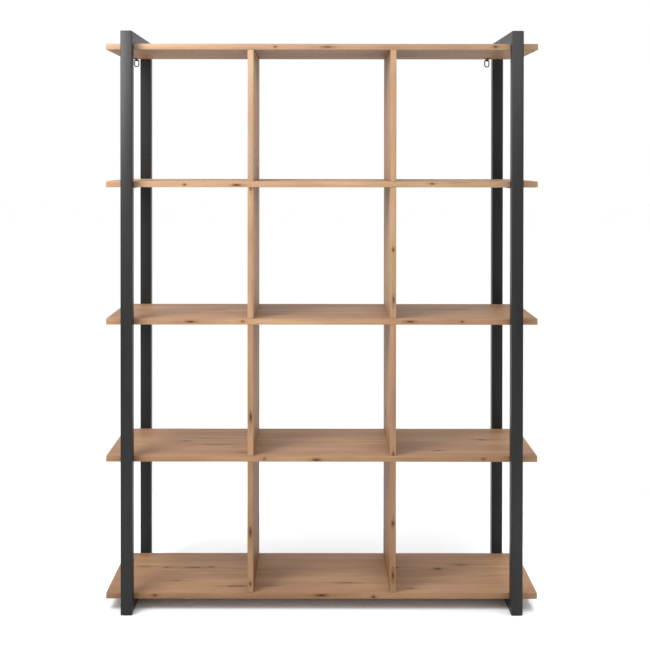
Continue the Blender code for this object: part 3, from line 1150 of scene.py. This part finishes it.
@dataclass
class Fixings:
    """The screws that hold the boards to the frames, the glides and the cover caps."""

    bearer_screw: float = 0.0155
    wall: float = 0.0015
    glide_head: float = 0.0015
    glide_rim: float = 0.0007
    glide_stem: float = 0.0038
    glide_barbs: tuple = ((0.004, 1.0), (0.0002, 0.86), (0.003, 1.0), (0.0002, 1.14), (0.0018, 0.8))
    cap_head: float = 0.0012
    cap_rim: float = 0.0009
    cap_spigot: float = 0.0053
    cap_wall: float = 0.0012

    def build(self, finishes: Finishes) -> None:
        """Makes and dresses every screw, glide and cap."""
        self.place_screws(finishes)
        masters = {"glide": self.build_glide(), "cap": self.build_cap()}
        for side, face in product(SIDES, FACES):
            for kind, master in masters.items():
                node = f"{side}_{face}_{kind}"
                place = middle_of(node)
                place.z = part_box(node)[0].z
                piece = copy_piece(master, node + "_moulding", place)
                fit(piece, finishes.plastic, [node])
        for master in masters.values():
            bpy.data.objects.remove(master)

    def place_screws(self, finishes: Finishes) -> None:
        """Copies the screws under the bearers, into the bottom rails and into the top rails."""
        screw = PanScrew().build(self.bearer_screw)
        for side in SIDES:
            seats = {
                "bottom_shelf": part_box(f"{side}_bottom_rail")[1].z - self.wall,
                "top_shelf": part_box(f"{side}_top_rail")[0].z + self.wall,
                **{level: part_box(f"{side}_bearer_{level}")[0].z for level in LEVELS[1:-1]},
            }
            for face in FACES:
                at = middle_of(f"{side}_{face}_cap")
                for level, height in seats.items():
                    place = Vector((at.x, at.y, height))
                    name = f"{side}_{face}_{level}_screw"
                    piece = copy_piece(screw, name, place, flip=level == "top_shelf")
                    fit(piece, finishes.blacked)
        bpy.data.objects.remove(screw)

    def build_glide(self) -> Object:
        """Models a floor glide standing on z = 0: a rounded disc with a barbed stem."""
        low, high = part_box("left_front_glide")
        radius = (high.x - low.x) / 2
        piece = pin(Vector(), 0.0, self.glide_head, radius, 40, "glide")
        with editing(piece):
            round_rim(piece, 0.0, self.glide_rim, 3)
            draw_out(piece, 1, radius - self.glide_stem, self.glide_barbs)
        smooth(piece, 45.0)
        return piece

    def build_cap(self) -> Object:
        """Models a cover cap with its spigot's end at z = 0 and a domed head."""
        low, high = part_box("left_front_cap")
        radius = (high.x - low.x) / 2
        stem = high.z - low.z - self.cap_head
        top = stem + self.cap_head
        piece = pin(Vector(), stem, top, radius, 40, "cap")
        with editing(piece):
            draw_out(piece, -1, radius - self.cap_spigot, ((stem, 0.94),))
            bpy.ops.mesh.inset(thickness=self.cap_wall)
            extrude(0, 0, stem * 0.9)
            round_rim(piece, top, self.cap_rim, 4)
        smooth(piece, 45.0)
        return piece


@dataclass
class WallHanger:
    """A folded strap screwed under the top shelf and the wire ring that swings in it."""

    side: str
    strap_width: float = 0.012
    barrel_width: float = 0.0072
    thickness: float = 0.0012
    neck: float = 0.006
    wrap: float = 300.0
    wire: float = 0.00175
    ring_width: float = 0.014
    ring_corner: float = 0.003
    screw_offset: float = 0.026
    screw_length: float = 0.012
    hole_radius: float = 0.0021

    def axis(self) -> Vector:
        """The middle of the barrel's axis."""
        low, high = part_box(f"{self.side}_hanger_ring")
        return Vector(((low.x + high.x) / 2, (low.y + high.y) / 2, high.z - self.wire))

    def build_strap(self) -> Object:
        """Models the strap: a round-ended plate whose rear end rolls down round the wire.

        Returns:
            The finished strap, without its material.
        """
        low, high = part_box(f"{self.side}_hanger_strap")
        centre = self.axis()
        plate = high.z - self.thickness / 2
        radius = plate - centre.z
        neck_start = centre.y - radius - self.neck
        middle = Vector((centre.x, (neck_start + low.y) / 2, plate))
        piece = sheet(f"{self.side}_hanger_strap_folded", middle, self.strap_width, neck_start - low.y)
        with editing(piece):
            choose(piece, Pick.VERTEX, lambda point: point.y < low.y + 1e-4)
            bpy.ops.mesh.bevel(offset=self.strap_width * 0.495, segments=8, affect="VERTICES")
            choose(piece, Pick.EDGE, lambda first, second: min(first.y, second.y) > neck_start - 1e-5)
            extrude(0, self.neck, 0)
            bpy.ops.transform.resize(value=(self.barrel_width / self.strap_width, 1, 1))
            extrude(0, radius, 0)
            bpy.ops.mesh.spin(steps=26, angle=math.radians(self.wrap), center=centre, axis=(-1, 0, 0))
            close_up(1e-6)
        wall = piece.modifiers.new("thickness", "SOLIDIFY")
        wall.thickness = self.thickness
        wall.offset = 0.0
        apply_modifiers(piece)
        hole = centre - Vector((0, self.screw_offset, 0))
        cut(piece, [pin(hole, plate - 2 * OVERCUT, plate + 2 * OVERCUT, self.hole_radius, 24)])
        round_edges(piece, 0.0002, 2, 50.0)
        smooth(piece, 40.0)
        return piece

    def build_ring(self) -> Object:
        """Models the ring: straight top bar, straight sides and a round bottom bend of wire.

        Returns:
            The finished ring, without its material.
        """
        centre = self.axis()
        drop = centre.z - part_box(f"{self.side}_hanger_ring")[0].z - self.wire
        half = self.ring_width / 2
        middle = centre - Vector((0, 0, drop / 2))
        piece = sheet(f"{self.side}_hanger_ring_wire", middle, self.ring_width, drop, upright=True)
        with editing(piece):
            choose(piece, Pick.VERTEX, lambda point: point.z < middle.z)
            bpy.ops.mesh.bevel(offset=half * 0.999, segments=14, affect="VERTICES")
            choose(piece, Pick.VERTEX, lambda point: point.z > centre.z - 1e-5)
            bpy.ops.mesh.bevel(offset=self.ring_corner, segments=7, affect="VERTICES")
            bpy.ops.mesh.select_all(action="SELECT")
            bpy.ops.mesh.remove_doubles(threshold=2e-5)
            bpy.ops.mesh.delete(type="ONLY_FACE")
        only(piece)
        bpy.ops.object.convert(target="CURVE")
        piece = bpy.context.active_object
        piece.data.bevel_depth = self.wire
        piece.data.bevel_resolution = 5
        bpy.ops.object.convert(target="MESH")
        piece = bpy.context.active_object
        with editing(piece):
            close_up(1e-6)
        smooth(piece, 60.0)
        return piece

    def build(self, finishes: Finishes) -> None:
        """Makes and dresses the strap, its screw and the ring."""
        strap, ring = f"{self.side}_hanger_strap", f"{self.side}_hanger_ring"
        fit(self.build_strap(), finishes.blacked, [strap])
        fit(self.build_ring(), finishes.blacked, [ring], f"{self.side}_ring")
        screw = PanScrew(head_radius=0.0034, head_height=0.0018).build(self.screw_length)
        place = self.axis() - Vector((0, self.screw_offset, 0))
        place.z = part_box(strap)[1].z - self.thickness
        fit(copy_piece(screw, f"{self.side}_hanger_screw", place), finishes.blacked)
        bpy.data.objects.remove(screw)


# ---------- studio


@dataclass(frozen=True)
class Softbox:
    """A square area light: its place, what it points at, its side in metres, its watts and its spread."""

    name: str
    place: tuple
    target: tuple
    size: float
    power: float
    spread: float = 180.0

    def hang(self) -> None:
        """Hangs the light, out of the camera's sight."""
        light = bpy.data.lights.new(self.name, "AREA")
        light.shape = "SQUARE"
        light.size = self.size
        light.energy = self.power
        light.spread = math.radians(self.spread)
        lamp = bpy.data.objects.new(self.name, light)
        lamp.location = self.place
        aim = Vector(self.target) - Vector(self.place)
        lamp.rotation_euler = aim.to_track_quat("-Z", "Y").to_euler()
        lamp.visible_camera = False
        bpy.context.scene.collection.objects.link(lamp)


@dataclass
class Studio:
    """The floor, the light and the camera."""

    surround: float = 1.01
    softboxes: tuple = (
        Softbox("key", (-1.2, -1.1, 2.25), (-0.2, -0.1, 1.4), 0.8, 34.0),
        Softbox("middle", (-0.4, -1.2, 2.3), (0.0, -0.1, 1.4), 0.8, 4.0),
        Softbox("side", (-1.5, -1.6, 2.0), (-0.2, -0.1, 1.4), 0.9, 14.0),
        Softbox("fill", (0.7, -1.3, 2.3), (0.2, -0.1, 1.4), 0.8, 9.0),
        Softbox("wash_behind", (0.0, 0.85, 1.5), (0.0, 0.85, 0.0), 1.2, 2.0, 70.0),
        Softbox("wash_right", (1.42, -0.1, 1.5), (1.42, -0.1, 0.0), 1.1, 8.0, 45.0),
    )

    lens: float = 61.46
    distance: float = 3.288
    eye: float = 1.3688
    aside: float = -0.0098
    tilt: float = 0.43
    roll: float = 0.05
    shift_x: float = 0.0097
    shift_y: float = -0.2481

    def build(self) -> None:
        """Sets up the whole studio."""
        self.lay_floor()
        self.hang_lights()
        self.place_camera()

    @staticmethod
    def lay_floor() -> None:
        """Lays the pale floor."""
        floor = primitive("studio_floor", bpy.ops.mesh.primitive_plane_add, size=60)
        floor.data.materials.append(PaleFloor().material("pale_floor"))

    def hang_lights(self) -> None:
        """Lights the unit from a white surround and high softboxes, and washes the floor."""
        scene = bpy.context.scene
        scene.view_settings.view_transform = "Standard"
        world = bpy.data.worlds.new("studio")
        scene.world = world
        world.use_nodes = True
        surround = Sketch(world.node_tree)
        white = surround.add("Background", Color=(1.0, 1.0, 1.0), Strength=self.surround)
        surround.add("OutputWorld", Surface=white.outputs[0])
        for light in self.softboxes:
            light.hang()

    def place_camera(self) -> None:
        """Places the camera before the unit, all but level, and shifted down as a view camera is."""
        data = bpy.data.cameras.new("camera")
        data.sensor_width = 36.0
        data.lens = self.lens
        data.shift_x, data.shift_y = self.shift_x, self.shift_y
        camera = bpy.data.objects.new("camera", data)
        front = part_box("left_front_post")[0].y
        camera.location = (self.aside, front - self.distance, self.eye)
        pitch = Matrix.Rotation(math.pi / 2 - math.radians(self.tilt), 3, "X")
        camera.rotation_euler = (pitch @ Matrix.Rotation(math.radians(self.roll), 3, "Z")).to_euler()
        bpy.context.scene.collection.objects.link(camera)
        bpy.context.scene.camera = camera


def main() -> None:
    """Builds the unit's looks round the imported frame."""
    logging.basicConfig(level=logging.INFO, format="%(name)s: %(message)s")
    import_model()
    Studio().build()
    finishes = Finishes()
    Shelving().build(finishes)
    for side in SIDES:
        SideFrame(side).build(finishes)
        WallHanger(side).build(finishes)
    Fixings().build(finishes)
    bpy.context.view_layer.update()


if __name__ == "__main__":
    main()
